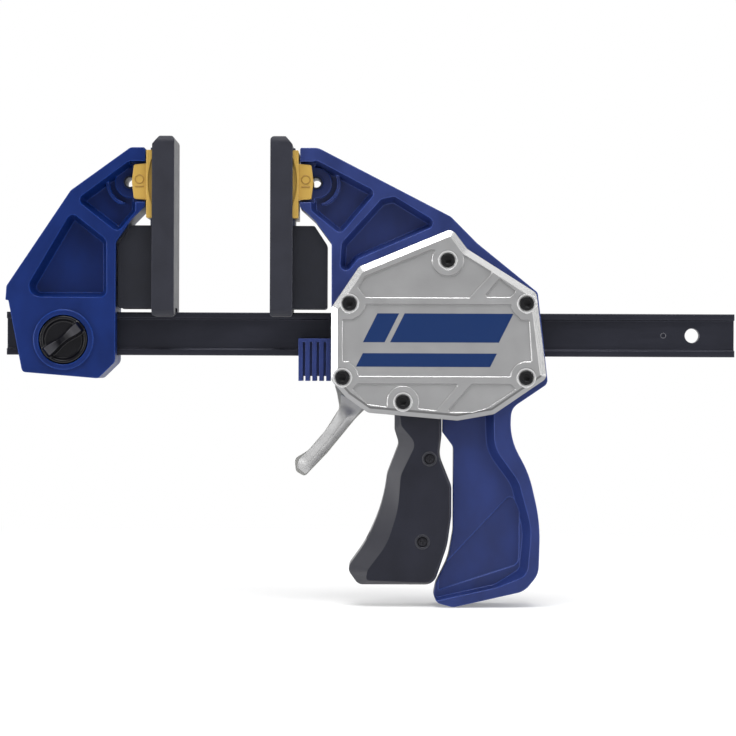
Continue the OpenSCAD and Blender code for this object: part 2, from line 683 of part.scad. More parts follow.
grip_corners = concat(
    [[hx + 35.4, grip_top, 1]], front_edge(0),
    [[hx + 9, -130, 5], [hx + 15.4, grip_foot, 5], [hx + 57.4, grip_foot, 7],
     [hx + 64.8, -117, 40], [hx + 67, -101, 20], [hx + 67, -84, 10],
     [hx + 60.2, -67, 14], [hx + 61.4, -56, 1], [hx + 61.4, grip_top, 1]]);
// The flat of the grip's side, behind the slope that the fingers lie on
grip_face = [
    [hx + 38, grip_top, 1], [hx + 38.8, -50.6, 4], [hx + 47.2, -60.5, 6], [hx + 38.8, -78, 12],
    [hx + 37.4, -97, 60], [hx + 31.6, -116, 40], [hx + 20.6, -130.6, 5], [hx + 19.4, grip_foot + 2.4, 2],
    [hx + 56.4, grip_foot + 1.2, 6], [hx + 63.8, -117, 40], [hx + 66, -101, 20], [hx + 66, -84.4, 10],
    [hx + 59.2, -67, 14], [hx + 60.4, -56, 1], [hx + 60.4, grip_top, 1]];
// Inside of the grip: the front wall and the foot stay, the back is open
grip_room = rounded(concat(
    [[hx + 35.4 + shell_wall, grip_top + 1, 0]], front_edge(shell_wall),
    [[hx + 10.8 + shell_wall, -127, 2], [hx + 15.4 + shell_wall, grip_foot + shell_wall, 2],
     [hx + 90, grip_foot + shell_wall, 0], [hx + 90, grip_top + 1, 0]]));
// One side of the steel channel, up to its eye on the top bolt
steel_inset = shell_wall + fit;
steel_plate = rounded(concat(
    [[hx + 35.4 + steel_inset, grip_top - 1, 0]], front_edge(steel_inset),
    [[hx + 10.8 + steel_inset, -127, 2], [hx + 15.4 + steel_inset, grip_foot + steel_inset, 2],
     [hx + 52, grip_foot + steel_inset, 3], [hx + 59.6, -118, 20], [hx + 63, -100, 16],
     [hx + 63, -84, 8], [hx + 58.6, -68, 10], [hx + 60, -46, 6], [hx + 54.6, -22, 12],
     [hx + 58, 6, 6], [hx + 62.6, 24, 3], [hx + 71, 32, 4], [hx + 72.4, 40, 0],
     [hx + 56, 40, 0], [hx + 55, 30, 10], [hx + 47, -36, 4]]));
// The bent front of the channel
steel_front = rounded(concat(
    [[hx + 35.4 + steel_inset, -47, 0]], front_edge(steel_inset),
    [[hx + 10.8 + steel_inset, -127, 0], [hx + 10.8 + steel_inset + trigger_steel, -127, 0]],
    reverse(front_edge(steel_inset + trigger_steel)),
    [[hx + 35.4 + steel_inset + trigger_steel, -47, 0]]));

module trigger_sleeve() color("silver") on_axis() difference() {
    cross_rod(trigger_axis, trigger_sleeve_r, -jaw_half + fit, jaw_half - fit);
    cross_rod(trigger_axis, bolt_r + fit);
}

module trigger_core() color("gray") on_axis() difference() {
    union() {
        both_sides(steel_in, steel_out) {
            polygon(steel_plate);
            translate(nose_at) circle(nose_r);
            translate(trigger_axis) circle(eye_r);
        }
        slab(steel_in) polygon(steel_front);
    }
    cross_rod(trigger_axis, trigger_sleeve_r + fit);
    for (place = screw_places) cross_rod(place, screw_r + fit);
}

// Half of the grip, drawn for the side at negative Y
module grip_shell() difference() {
    bevelled_plate(reverse(grip_corners), reverse(grip_face), [0, slope_depth - trigger_half, -trigger_half]);
    across(-steel_out, 1) polygon(grip_room);
    // Open foot, so that the grip swings past the handle's web
    slab(steel_in) translate([hx + 20, -2 * through]) square([through, 2 * through - 110]);
    for (place = screw_places) cross_rod(place, screw_r + fit);
}

module trigger_front_shell() color("darkslategray") on_axis() difference() {
    grip_shell();
    for (place = screw_places) cross_rod(place, 3, -through, -trigger_half + 1);
}

module trigger_rear_shell() color("darkslategray") on_axis() difference() {
    mirror([0, 1, 0]) grip_shell();
    for (place = screw_places) cross_rod(place, 3, trigger_half - 1, through);
}

// Screws into each side's steel, through the shell
module trigger_screws() color("black") on_axis()
    for (side = [0, 1]) mirror([0, side, 0]) for (place = screw_places) {
        cross_rod(place, screw_r, -trigger_half + 1, -steel_in - 0.4);
        cross_rod(place, 2.8, -trigger_half + 0.2, -trigger_half + 1);
    }

// ---------------------------------------------------------------- release lever

release_sleeve_r = 3.4;
lever_hub_r = 5.6;
lever_outline = rounded([
    [hx + 0.6, -24, 4], [hx + 3.2, -33, 6], [hx + 4.6, -41, 6], [hx - 3.6, -54, 20],
    [hx - 13, -65, 12], [hx - 20.4, -69.4, 3], [hx - 19.6, -76.4, 3], [hx - 14.6, -79.2, 2],
    [hx - 2, -66, 20], [hx + 13.4, -47, 20], [hx + 20.4, -40, 2], [hx + 19, -37.4, 1],
    [hx + 10.6, -33, 1], [hx + 12.15, -29.4, 1.2], [hx + 11, -24, 3]]);
lever_channel = rounded([
    [hx + 7, -37.4, 1], [hx + 16.4, -38.8, 1], [hx + 10.6, -45.4, 10], [hx - 4.2, -63.8, 10],
    [hx - 14, -74.2, 1.4], [hx - 16.4, -71, 1.4], [hx - 2, -58.2, 10], [hx + 7.6, -43, 6]]);

module release_sleeve() color("silver") on_axis() difference() {
    cross_rod(release_axis, release_sleeve_r, -lever_half - 0.4, lever_half + 0.4);
    cross_rod(release_axis, bolt_r + fit);
}

module release_lever() color("gainsboro") on_axis() difference() {
    union() {
        slab(lever_half) polygon(lever_outline);
        cross_rod(release_axis, lever_hub_r, -lever_half, lever_half);
    }
    both_sides(lever_half - 1.2, through) polygon(lever_channel);
    cross_rod(release_axis, release_sleeve_r + fit);
}

// ---------------------------------------------------------------- brake and drive

// A gripping plate seen along X, with its slot for the bar
module grip_plate(z0, z1, t, slot_gap) difference() {
    rotate([90, 0, 90]) linear_extrude(t) polygon(rounded([
        [-grip_plate_w / 2, z0, 3], [grip_plate_w / 2, z0, 3],
        [grip_plate_w / 2, z1, 3], [-grip_plate_w / 2, z1, 3]]));
    bar_space(slot_gap, -1, t + 1);
}

// Tilted about its fulcrum, with its foot towards the fixed jaw
module brake_plate() color("gray") on_axis()
    translate([fulcrum[0], 0, fulcrum[1]]) rotate([0, brake_tilt, 0]) translate([0, 0, -fulcrum[1]])
        difference() {
            grip_plate(-bar_top - 18.5, bar_top + 8.5, brake_plate_t, 0.4);
            translate([-1, -through / 2, -through - bar_top - 8]) cube([5.2, through / 2 - 5.5, through]);
            translate([-1, 5.5, -through - bar_top - 8]) cube([5.2, through / 2, through]);
        }

brake_coil_r = 3;
brake_coil_z = -bar_top - 8.4;
// Where the tilted plate's back is, at the coil's top
brake_coil_x = fulcrum[0] + brake_plate_t + seat
    - (fulcrum[1] - brake_coil_z - brake_coil_r) * tan(brake_tilt);

module brake_spring() color("silver") on_axis() translate([0, 0, brake_coil_z])
    coil(brake_coil_x, brake_room[1] - fit, brake_coil_r, brake_wire, 4);

module drive_plate(i) on_axis() translate([drive_x + i * drive_plate_t, 0, 0])
    grip_plate(-bar_top - 8, bar_top + 10, drive_plate_t, 0.25);

module drive_plate_1() color("gray") drive_plate(0);
module drive_plate_2() color("gray") drive_plate(1);

seat_t = 1.6;
coil_r = 14.6;

module drive_spring() color("silver") on_axis()
    coil(drive_back + fit, drive_room[1] - seat_t - fit, coil_r, drive_wire, 6);

module spring_seat() color("gray") on_axis() difference() {
    translate([drive_room[1] - seat_t, 0, 0]) rotate([0, 90, 0]) cylinder(r = coil_r + 1.2, h = seat_t);
    bar_space(bar_clearance, drive_room[0], drive_room[1] + 1);
}

bar();
fixed_jaw();
fixed_pivot_sleeve();
fixed_pad_core();
fixed_pad_boot();
fixed_pad_heel();
fixed_pad_clip();
lock_knob();
lock_stud();
lock_nut();
main_frame();
bar_guide();
front_cover();
rear_cover();
cover_bolts();
cover_nuts();
moving_pivot_sleeve();
moving_pad_core();
moving_pad_boot();
moving_pad_heel();
moving_pad_clip();
trigger_sleeve();
trigger_core();
trigger_front_shell();
trigger_rear_shell();
trigger_screws();
release_lever();
release_sleeve();
brake_plate();
brake_spring();
drive_plate_1();
drive_plate_2();
drive_spring();
spring_seat();
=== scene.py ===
import math

import bmesh
import bpy
import numpy as np
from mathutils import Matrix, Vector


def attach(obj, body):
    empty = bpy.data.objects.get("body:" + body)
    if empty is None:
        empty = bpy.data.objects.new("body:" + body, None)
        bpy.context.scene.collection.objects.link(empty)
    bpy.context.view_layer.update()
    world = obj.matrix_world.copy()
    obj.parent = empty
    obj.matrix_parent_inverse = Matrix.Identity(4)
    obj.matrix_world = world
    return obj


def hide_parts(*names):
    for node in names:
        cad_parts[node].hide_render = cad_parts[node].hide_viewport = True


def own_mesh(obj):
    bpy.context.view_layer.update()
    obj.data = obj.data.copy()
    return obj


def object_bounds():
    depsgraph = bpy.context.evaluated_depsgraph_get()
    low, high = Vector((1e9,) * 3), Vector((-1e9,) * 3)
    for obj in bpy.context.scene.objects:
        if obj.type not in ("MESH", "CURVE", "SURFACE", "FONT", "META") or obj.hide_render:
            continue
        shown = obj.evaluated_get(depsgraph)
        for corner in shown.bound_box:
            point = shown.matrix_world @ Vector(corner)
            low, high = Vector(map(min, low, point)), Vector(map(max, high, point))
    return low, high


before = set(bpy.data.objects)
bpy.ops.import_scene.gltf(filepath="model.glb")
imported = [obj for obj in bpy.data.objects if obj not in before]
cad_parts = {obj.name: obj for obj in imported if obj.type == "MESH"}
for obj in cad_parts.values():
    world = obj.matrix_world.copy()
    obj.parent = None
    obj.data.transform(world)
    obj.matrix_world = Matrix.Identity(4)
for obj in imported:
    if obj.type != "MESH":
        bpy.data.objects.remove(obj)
cad_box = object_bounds()


# ---------------------------------------------------------------------------------------------
# The bar: an I section of hot rolled steel, 24 by 10 mm, cut to 406 mm, with a hanging hole near
# its free end. It is blackened in a bath and oiled, so it is dark and a little streaked along its
# length. Its cut ends and edges are lighter, partly grey steel showing and partly a painted
# highlight.
# ---------------------------------------------------------------------------------------------

def node(tree, kind, sockets=(), **settings):
    """One shader node: its settings first, then each of the sockets gets a number or a link."""
    made = tree.nodes.new("ShaderNode" + kind)
    for setting, value in settings.items():
        setattr(made, setting, value)
    for socket, value in dict(sockets).items():
        if isinstance(value, bpy.types.NodeSocket):
            tree.links.new(value, made.inputs[socket])
        else:
            made.inputs[socket].default_value = value
    return made


def new_finish(name, constants=()):
    """A material with its Principled shader, whose constant sockets are set directly."""
    material = bpy.data.materials.new(name)
    material.use_nodes = True
    shader = material.node_tree.nodes["Principled BSDF"]
    for socket, value in dict(constants).items():
        shader.inputs[socket].default_value = value
    return material, material.node_tree, shader


def grain(tree, size, stretch=(1, 1, 1), detail=3.0):
    """Noise whose lumps are about size metres across, drawn out by stretch along X, Y and Z."""
    place = node(tree, "TexCoord").outputs["Object"]
    scaled = node(tree, "Mapping", {"Vector": place, "Scale": [1 / s for s in stretch]})
    return node(tree, "TexNoise", {"Vector": scaled.outputs["Vector"], "Scale": 1 / size,
                                   "Detail": detail}).outputs["Fac"]


def ramp(tree, value, *stops):
    """A colour ramp through the stops, each a place from 0 to 1 and a colour or grey level."""
    made = node(tree, "ValToRGB", {"Fac": value})
    elements = made.color_ramp.elements
    while len(elements) < len(stops):
        elements.new(1.0)
    for element, (place, colour) in zip(elements, stops):
        element.position = place
        element.color = (*colour, 1) if hasattr(colour, "__len__") else (colour, colour, colour, 1)
    return made.outputs["Color"]


def mixed(tree, share, first, second):
    """A colour that goes from the first to the second as share goes from 0 to 1."""
    made = node(tree, "Mix", {"Factor": share}, data_type="RGBA")
    for socket, value in ((made.inputs[6], first), (made.inputs[7], second)):
        if isinstance(value, bpy.types.NodeSocket):
            tree.links.new(value, socket)
        else:
            socket.default_value = (*value, 1)
    return made.outputs[2]


def softened(tree, shader, height, depth, radius):
    """Raises the surface by the height signal times depth metres, as a bump, and shades its sharp
    edges round over the radius. Gives how much of an edge each point is, from 0 to 1: where the
    rounded normal leans away from the flat one, their dot product falls below one."""
    rounded = node(tree, "Bevel", {"Radius": radius}, samples=6).outputs["Normal"]
    bump = node(tree, "Bump", {"Height": height, "Distance": depth, "Normal": rounded})
    tree.links.new(bump.outputs["Normal"], shader.inputs["Normal"])
    flat = node(tree, "NewGeometry").outputs["Normal"]
    bent = node(tree, "VectorMath", {0: rounded, 1: flat}, operation="DOT_PRODUCT")
    return ramp(tree, bent.outputs["Value"], (0.88, 1), (0.985, 0))


def blackened_steel(name, colour, wear_and_highlight, metallic=0.5):
    """Dark oxide with streaks drawn out along X, slow clouds where the oil has dried, and edges
    lightened to the wear_and_highlight colour, partly bare steel showing and partly a painted
    highlight."""
    material, tree, shader = new_finish(name, {"Metallic": metallic, "Specular IOR Level": 0.3})
    streaks = grain(tree, 0.0009, (30, 1, 1))
    blotches = grain(tree, 0.022, (2, 1, 1))
    edges = softened(tree, shader, streaks, depth=0.00002, radius=0.0005)
    light = [c * 1.5 for c in colour]
    base = mixed(tree, ramp(tree, blotches, (0.3, 0), (0.75, 1)), colour, light)
    # Edges take the lighter colour: partly wear, partly a painted highlight.
    tree.links.new(mixed(tree, edges, base, wear_and_highlight), shader.inputs["Base Color"])
    tree.links.new(ramp(tree, streaks, (0.3, 0.30), (0.7, 0.50)), shader.inputs["Roughness"])
    return material


def dressed(name, sharp=24, radius=None):
    """A copy of a node's mesh, its loose triangles joined and its flats made whole, shaded smooth
    across edges up to the sharp angle in degrees. Where a radius is given, its edges are cut
    round; each corner's normal follows the largest faces that meet there."""
    weld, flat = 2e-6, math.radians(0.4)
    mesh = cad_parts[name].data.copy()
    work = bmesh.new()
    work.from_mesh(mesh)
    bmesh.ops.remove_doubles(work, verts=work.verts, dist=weld)
    bmesh.ops.dissolve_limit(work, angle_limit=flat, verts=work.verts, edges=work.edges)
    work.to_mesh(mesh)
    work.free()
    mesh.attributes.remove(mesh.attributes["custom_normal"])
    mesh.shade_smooth()
    mesh.set_sharp_from_angle(angle=math.radians(sharp))
    piece = bpy.data.objects.new("dressed_" + name, mesh)
    bpy.context.scene.collection.objects.link(piece)
    if radius:
        edges = piece.modifiers.new("edges", "BEVEL")
        edges.width = radius
        edges.segments = 3
        edges.limit_method = "ANGLE"
        edges.angle_limit = math.radians(sharp)
        edges.use_clamp_overlap = True
    flats = piece.modifiers.new("flats", "WEIGHTED_NORMAL")
    flats.mode = "FACE_AREA"
    flats.weight = 100
    flats.keep_sharp = not radius
    return piece


def fit(piece, body, slot, finish, *nodes):
    """Gives a piece its finish and its body, and hides the nodes it stands for. The slot is not
    used.
    """
    piece.data.materials.clear()
    piece.data.materials.append(finish)
    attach(piece, body)
    if nodes:
        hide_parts(*nodes)


bar_black = blackened_steel("bar_black", (0.020, 0.021, 0.030), (0.30, 0.30, 0.33))
fit(dressed("bar"), "bar_unit", "bar_steel", bar_black, "bar")


# ---------------------------------------------------------------------------------------------
# The fixed jaw, the frame of the moving jaw and the bar guide: glass-filled nylon, moulded in one
# piece each in a deep blue, with webs cored out to pockets between ribs. The mould is spark eroded
# to a fine matt grain. The ribs' edges are glossier from handling, and lighter: partly from wear,
# partly a painted highlight.
# ---------------------------------------------------------------------------------------------

def maths(tree, operation, *values):
    """The result of one Math node, whose inputs get the values in turn."""
    return node(tree, "Math", dict(enumerate(values)), operation=operation).outputs[0]


def moulded_nylon(name, colour, rough=0.42, cloud=0.2, level=0.4, radius=0.0010,
                  wear_and_highlight=(3.2, 3.0, 2.6), depth=0.00004, slopes_highlit=False):
    """Matt moulded plastic: clouded colour, a fine eroded grain, faint flow marks, and edges made
    glossier by hands and lighter by the wear_and_highlight factors, partly from wear and partly as a
    painted highlight. Where slopes_highlit is set, slopes that face sideways get the same painted
    highlight."""
    material, tree, shader = new_finish(name, {"Specular IOR Level": level})
    flow = grain(tree, 0.016, (1, 1, 1.6), 4.0)
    edges = softened(tree, shader, grain(tree, 0.00035, detail=2.0), depth, radius)
    # Painted highlight: slopes that face sideways are lightened like the edges.
    if slopes_highlit:
        facing = node(tree, "SeparateXYZ", {0: node(tree, "NewGeometry").outputs["Normal"]})
        steep = maths(tree, "ABSOLUTE", facing.outputs["Y"])
        edges = maths(tree, "MAXIMUM", ramp(tree, steep, (0.90, 0.85), (0.975, 0)), edges)
    light = [c * (1 + cloud) for c in colour]
    dark = [c * (1 - cloud) for c in colour]
    base = ramp(tree, flow, (0.3, dark), (0.7, light))
    # Edges are lightened by these factors: partly wear, partly a painted highlight.
    edge_lightened = [c * w for c, w in zip(colour, wear_and_highlight)]
    tree.links.new(mixed(tree, edges, base, edge_lightened), shader.inputs["Base Color"])
    matt = ramp(tree, flow, (0.3, rough - 0.05), (0.7, rough + 0.07))
    tree.links.new(mixed(tree, edges, matt, [rough - 0.12] * 3), shader.inputs["Roughness"])
    return material


# The jaw and the frame are the same nylon in two copies of its blue: the frame's is painted lighter,
# as lit, and the jaw's darker, as shaded.
jaw_nylon = moulded_nylon("jaw_nylon", (0.002, 0.017, 0.120), level=0.25)
fit(dressed("fixed_jaw"), "bar_unit", "blue_plastic", jaw_nylon, "fixed_jaw")

blue = (0.013, 0.028, 0.140)
blue_nylon = moulded_nylon("blue_nylon", blue)
fit(dressed("main_frame"), "carriage", "blue_plastic", blue_nylon, "main_frame")
guide_nylon = moulded_nylon("guide_nylon", blue, radius=0.0003)
fit(dressed("bar_guide"), "carriage", "blue_plastic", guide_nylon, "bar_guide")


# ---------------------------------------------------------------------------------------------
# The pads: each is a hard nylon core plate in a grey rubber boot, with a heel block behind its
# lower half. The boot is moulded over the core, with full, round edges.
# ---------------------------------------------------------------------------------------------

def rubber(name, colour):
    """Dull rubber: a dusty film over a fine stipple, with its edges 2.5 times lighter."""
    material, tree, shader = new_finish(name, {"Specular IOR Level": 0.3, "Sheen Weight": 0.18})
    dust = grain(tree, 0.009, detail=5.0)
    tree.links.new(ramp(tree, dust, (0.3, 0.5), (0.75, 0.65)), shader.inputs["Roughness"])
    edges = softened(tree, shader, grain(tree, 0.0005, detail=2.0), 0.00006, 0.0006)
    dusted = ramp(tree, dust, (0.3, colour), (0.75, [c * 1.3 for c in colour]))
    edge_lightened = [c * 2.5 for c in colour]
    tree.links.new(mixed(tree, edges, dusted, edge_lightened), shader.inputs["Base Color"])
    return material


pad_rubber = rubber("pad_rubber", (0.015, 0.016, 0.025))
heel_rubber = rubber("heel_rubber", (0.007, 0.008, 0.014))
core_nylon = moulded_nylon("core_nylon", (0.012, 0.016, 0.040))
boot_round = 0.0010
for pad in ("fixed_pad", "moving_pad"):
    fit(dressed(pad + "_boot", radius=boot_round), pad, "pad_rubber", pad_rubber, pad + "_boot")
    fit(dressed(pad + "_heel"), pad, "pad_rubber", heel_rubber, pad + "_heel")
    fit(dressed(pad + "_core"), pad, "core_plastic", core_nylon, pad + "_core")


# ---------------------------------------------------------------------------------------------
# The clips that hold the pads on the jaws' tips: yellow acetal with springy ears. A plain ring over
# a short bar is raised on each ear as a thumb mark.
# ---------------------------------------------------------------------------------------------

def woven(name, grids, ring=False):
    """One mesh from grids of points, each an array of rows, columns and X, Y, Z. The columns join
    round; the first and last rows close to a point at their middle, or join each other in a ring.
    A grid whose faces enclose a negative volume is turned over, so all of them look outwards."""
    corners, faces, base = [], [], 0
    for grid in grids:
        rows, columns = grid.shape[:2]
        last = rows if ring else rows - 1
        r, c = np.meshgrid(np.arange(last), np.arange(columns), indexing="ij")
        r, c = r.ravel(), c.ravel()
        up, on = (r + 1) % rows, (c + 1) % columns
        quads = np.stack([r * columns + c, r * columns + on, up * columns + on, up * columns + c], 1)
        points = grid.reshape(-1, 3)
        tris = np.empty((0, 3), int)
        if not ring:
            points = np.vstack([points, grid[0].mean(0), grid[-1].mean(0)])
            first, turn = np.arange(columns), (np.arange(columns) + 1) % columns
            top = (rows - 1) * columns
            start, end = rows * columns, rows * columns + 1
            tris = np.vstack([np.stack([turn, first, np.full(columns, start)], 1),
                              np.stack([top + first, top + turn, np.full(columns, end)], 1)])
        halves = np.vstack([quads[:, :3], quads[:, [0, 2, 3]], tris])
        a, b, d = (points[halves[:, k]] - points.mean(0) for k in range(3))
        if np.einsum("ij,ij->i", a, np.cross(b, d)).sum() < 0:
            quads, tris = quads[:, ::-1], tris[:, ::-1]
        corners.append(points)
        faces += (quads + base).tolist() + (tris + base).tolist()
        base += len(points)
    mesh = bpy.data.meshes.new(name)
    mesh.from_pydata(np.vstack(corners).tolist(), [], faces)
    mesh.shade_smooth()
    piece = bpy.data.objects.new(name, mesh)
    bpy.context.scene.collection.objects.link(piece)
    return piece


around = np.linspace(0, 2 * np.pi, 96, endpoint=False)
bar_axis = -0.0595                      # height of the bar's axis in this frame


def turned(centre, profile, lobes=None, facing=-1):
    """Rings round an axis along Y through centre, its X and its height over the bar's axis in mm.
    The profile gives each ring's radius and its distance from the middle plane, to the front
    where facing is -1 and to the rear where it is 1; lobes, one per ring and column, multiply
    the radius."""
    profile = np.array(profile, float)
    radius = profile[:, :1] * (1 if lobes is None else lobes)
    depth = np.broadcast_to(profile[:, 1:2], radius.shape if lobes is not None else
                            (len(profile), len(around)))
    radius = np.broadcast_to(radius, depth.shape)
    return np.stack([centre[0] + radius * np.cos(around), facing * depth,
                     centre[1] + radius * np.sin(around)], 2) / 1000 + (0, 0, bar_axis)


def round_ring(centre, radius, tube, depth, facing=-1):
    """A ring of round section, its radius and its tube's in mm, half sunk in a face at depth."""
    section = np.linspace(0, 2 * np.pi, 16, endpoint=False)
    return turned(centre, np.stack([radius + tube * np.cos(section),
                                    depth + tube * np.sin(section)], 1), None, facing)


def round_bar(centre, half, thick, proud, depth, facing=-1):
    """A bar along X with round ends, half sunk in a face at depth, in mm: its section shrinks
    towards both ends as a fourth-power ellipse does."""
    along = np.linspace(-0.98, 0.98, 15)[:, None]
    swell = np.sqrt(1 - along ** 4)
    return np.stack([centre[0] + half * along + 0 * around,
                     facing * (depth + proud * swell * np.sin(around)),
                     centre[1] + thick * swell * np.cos(around)], 2) / 1000 + (0, 0, bar_axis)


clip_acetal = moulded_nylon("yellow_acetal", (0.52, 0.33, 0.072), 0.34, 0.06, radius=0.0005,
                            wear_and_highlight=(1.15, 1.15, 1.15))
mark_acetal = moulded_nylon("mark_acetal", (0.33, 0.19, 0.035), 0.4, 0.06, radius=0.0003,
                            wear_and_highlight=(1.2, 1.2, 1.2))
ear_face = 15.5                         # mm from the middle plane to an ear's outer face
mark_proud = 0.35
mark_ring_height, mark_ring_radius = 85.4, 2.3
mark_bar_height, mark_bar_half, mark_bar_thick = 81.4, 2.6, 0.5
for pad, ear in (("fixed_pad", -19.6), ("moving_pad", 72.6)):
    fit(dressed(pad + "_clip"), pad, "yellow_plastic", clip_acetal, pad + "_clip")
    mark_rings = [round_ring((ear, mark_ring_height), mark_ring_radius, mark_proud, ear_face,
                             facing) for facing in (-1, 1)]
    mark_bars = [round_bar((ear, mark_bar_height), mark_bar_half, mark_bar_thick, mark_proud,
                           ear_face, facing) for facing in (-1, 1)]
    fit(woven(pad + "_ring_marks", mark_rings, True), pad, "yellow_plastic", mark_acetal)
    fit(woven(pad + "_bar_marks", mark_bars), pad, "yellow_plastic", mark_acetal)


# ---------------------------------------------------------------------------------------------
# The steel pieces inside: the stud, nut and sleeves are turned and zinc plated, the pads' pivot
# sleeves are oiled and dark, the plates are sheared from rolled stock, the trigger's core is
# folded and blackened, and the springs are wound from bright wire.
# ---------------------------------------------------------------------------------------------

def plain_metal(name, colour, rough, draw=(1, 1, 1), metallic=0.9):
    """Bare or plated metal: fine tool marks drawn out along the given axes, and slow clouds."""
    material, tree, shader = new_finish(name, {"Metallic": metallic})
    marks = grain(tree, 0.0006, draw)
    cloud = grain(tree, 0.010, detail=4.0)
    dark = [c * 0.8 for c in colour]
    tree.links.new(ramp(tree, cloud, (0.3, dark), (0.7, colour)), shader.inputs["Base Color"])
    tree.links.new(ramp(tree, marks, (0.3, rough - 0.07), (0.7, rough + 0.09)),
                   shader.inputs["Roughness"])
    softened(tree, shader, marks, 0.00001, 0.0003)
    return material


zinc_plate = plain_metal("zinc_plate", (0.50, 0.51, 0.53), 0.32, (1, 8, 1))
sleeve_dark = plain_metal("sleeve_dark", (0.03, 0.035, 0.06), 0.40, (1, 8, 1))
rolled_steel = plain_metal("rolled_steel", (0.30, 0.30, 0.31), 0.38, (1, 1, 14))
spring_wire = plain_metal("spring_wire", (0.26, 0.26, 0.27), 0.30, (1, 5, 5))
core_black = blackened_steel("core_black", (0.012, 0.012, 0.016), (0.02, 0.02, 0.025), 0.2)

for finish, names in ((sleeve_dark, ("fixed_pivot_sleeve", "moving_pivot_sleeve")),
                      (zinc_plate, ("lock_stud", "lock_nut", "trigger_sleeve", "release_sleeve")),
                      (rolled_steel, ("brake_plate", "drive_plate_1", "drive_plate_2",
                                      "spring_seat")),
                      (core_black, ("trigger_core",))):
    for name in names:
        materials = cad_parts[name].data.materials
        materials.clear()
        materials.append(finish)

# Each spring is listed with its joint, the wall at X in metres that it stands against, and the
# share of its length that the plate before it presses it to; only its name is used, for a plain
# copy of its node's mesh.
for name, joint, wall, keep in (("drive_spring", "drive_stroke", 0.18435, 0.82),
                                ("brake_spring", "brake_tilt", 0.11195, 0.84)):
    coil = dressed(name)
    coil.modifiers.clear()
    fit(coil, "carriage", "spring_steel", spring_wire, name)
    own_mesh(coil)


# ---------------------------------------------------------------------------------------------
# The silver covers: two zinc die castings, satin coated on the face, with shallow panels between
# raised bands; bevels and slopes that look up or sideways get a painted highlight. The front one
# carries two rows of plain blue printed bars.
# ---------------------------------------------------------------------------------------------

def satin_zinc(name, colour, bright, rough=0.40, metallic=0.5, radius=0.0005, bars=(),
               size=0.0004, depth=0.00002):
    """Satin coated casting: a soft sheen with fine speckle and slow clouds. Its slopes and edges
    that look up or sideways get a painted highlight in the bright colour, and are made glossier and
    more metallic there; the rim's faces that look down get a painted shade. Blue bars are printed on
    its front, each given by its left, right, foot and top in metres; they lean with the cover's
    slanting bands."""
    material, tree, shader = new_finish(name)
    cloud = grain(tree, 0.012, detail=5.0)
    dull, light = [c * 0.96 for c in colour], [c * 1.05 for c in colour]
    coat = ramp(tree, cloud, (0.3, dull), (0.75, light))
    edges = softened(tree, shader, grain(tree, size, detail=2.0), depth, radius)

    rounded = node(tree, "Bevel", {"Radius": radius}, samples=6).outputs["Normal"]
    facing = node(tree, "SeparateXYZ", {0: rounded})
    slope = ramp(tree, maths(tree, "ABSOLUTE", facing.outputs["Y"]), (0.86, 1), (0.97, 0))
    slope = maths(tree, "MAXIMUM", slope, edges)
    up = maths(tree, "MULTIPLY_ADD", facing.outputs["Z"], 0.5, 0.5)
    # Painted highlight: slopes and edges that look up or sideways are given the bright colour.
    highlight_mask = maths(tree, "MULTIPLY", ramp(tree, up, (0.38, 0), (0.49, 1)), slope)

    rim_start = 0.0212                  # the rim's slopes lie past this, from the middle plane
    place = node(tree, "SeparateXYZ", {0: node(tree, "TexCoord").outputs["Object"]})
    x, y, z = (place.outputs[axis] for axis in "XYZ")
    outer = maths(tree, "GREATER_THAN", maths(tree, "ABSOLUTE", y), rim_start)
    # Painted shade: the rim's faces that look down are darkened nearly to black.
    painted_shade = maths(tree, "MULTIPLY", ramp(tree, up, (0.36, 0.75), (0.48, 0)), outer)
    coat = mixed(tree, painted_shade, coat, (0.07, 0.07, 0.07))

    metal = mixed(tree, highlight_mask, [metallic] * 3, [0.85] * 3)
    if bars:
        lean, face_start = -0.5, -0.0205
        shifted = maths(tree, "MULTIPLY_ADD", z, lean, x)
        inked = 0.0
        for left, right, foot, top in bars:
            inside = []
            for value, low, high in ((shifted, left, right), (z, foot, top)):
                away = maths(tree, "ABSOLUTE", maths(tree, "SUBTRACT", value, (low + high) / 2))
                inside.append(maths(tree, "LESS_THAN", away, (high - low) / 2))
            inked = maths(tree, "MAXIMUM", maths(tree, "MULTIPLY", *inside), inked)
        inked = maths(tree, "MULTIPLY", inked, maths(tree, "LESS_THAN", y, face_start))
        coat = mixed(tree, inked, coat, (0.008, 0.029, 0.115))
        metal = mixed(tree, inked, metal, (0, 0, 0))
        tree.links.new(ramp(tree, inked, (0, 0.5), (1, 0.2)), shader.inputs["Specular IOR Level"])
    matt = ramp(tree, cloud, (0.3, rough - 0.04), (0.75, rough + 0.06))
    tree.links.new(metal, shader.inputs["Metallic"])
    tree.links.new(mixed(tree, highlight_mask, matt, [0.27] * 3), shader.inputs["Roughness"])
    tree.links.new(mixed(tree, highlight_mask, coat, bright), shader.inputs["Base Color"])
    return material


housing_left = 0.087                    # the housing's left edge
bars = [(housing_left + left, housing_left + right, foot + bar_axis, top + bar_axis)
        for left, right, foot, top in ((0.0495, 0.0615, -0.0045, 0.0115),
                                       (0.0645, 0.1245, -0.0045, 0.0115),
                                       (0.0525, 0.1265, -0.0180, -0.0105))]
# The covers' satin colour, and the light grey of their painted highlight.
satin, highlight_grey = (0.37, 0.37, 0.375), (0.80, 0.80, 0.80)
cover_face = satin_zinc("cover_face", satin, highlight_grey, bars=bars)
cover_plain = satin_zinc("cover_plain", satin, highlight_grey)
fit(dressed("front_cover"), "carriage", "cover_metal", cover_face, "front_cover")
fit(dressed("rear_cover"), "carriage", "cover_metal", cover_plain, "rear_cover")


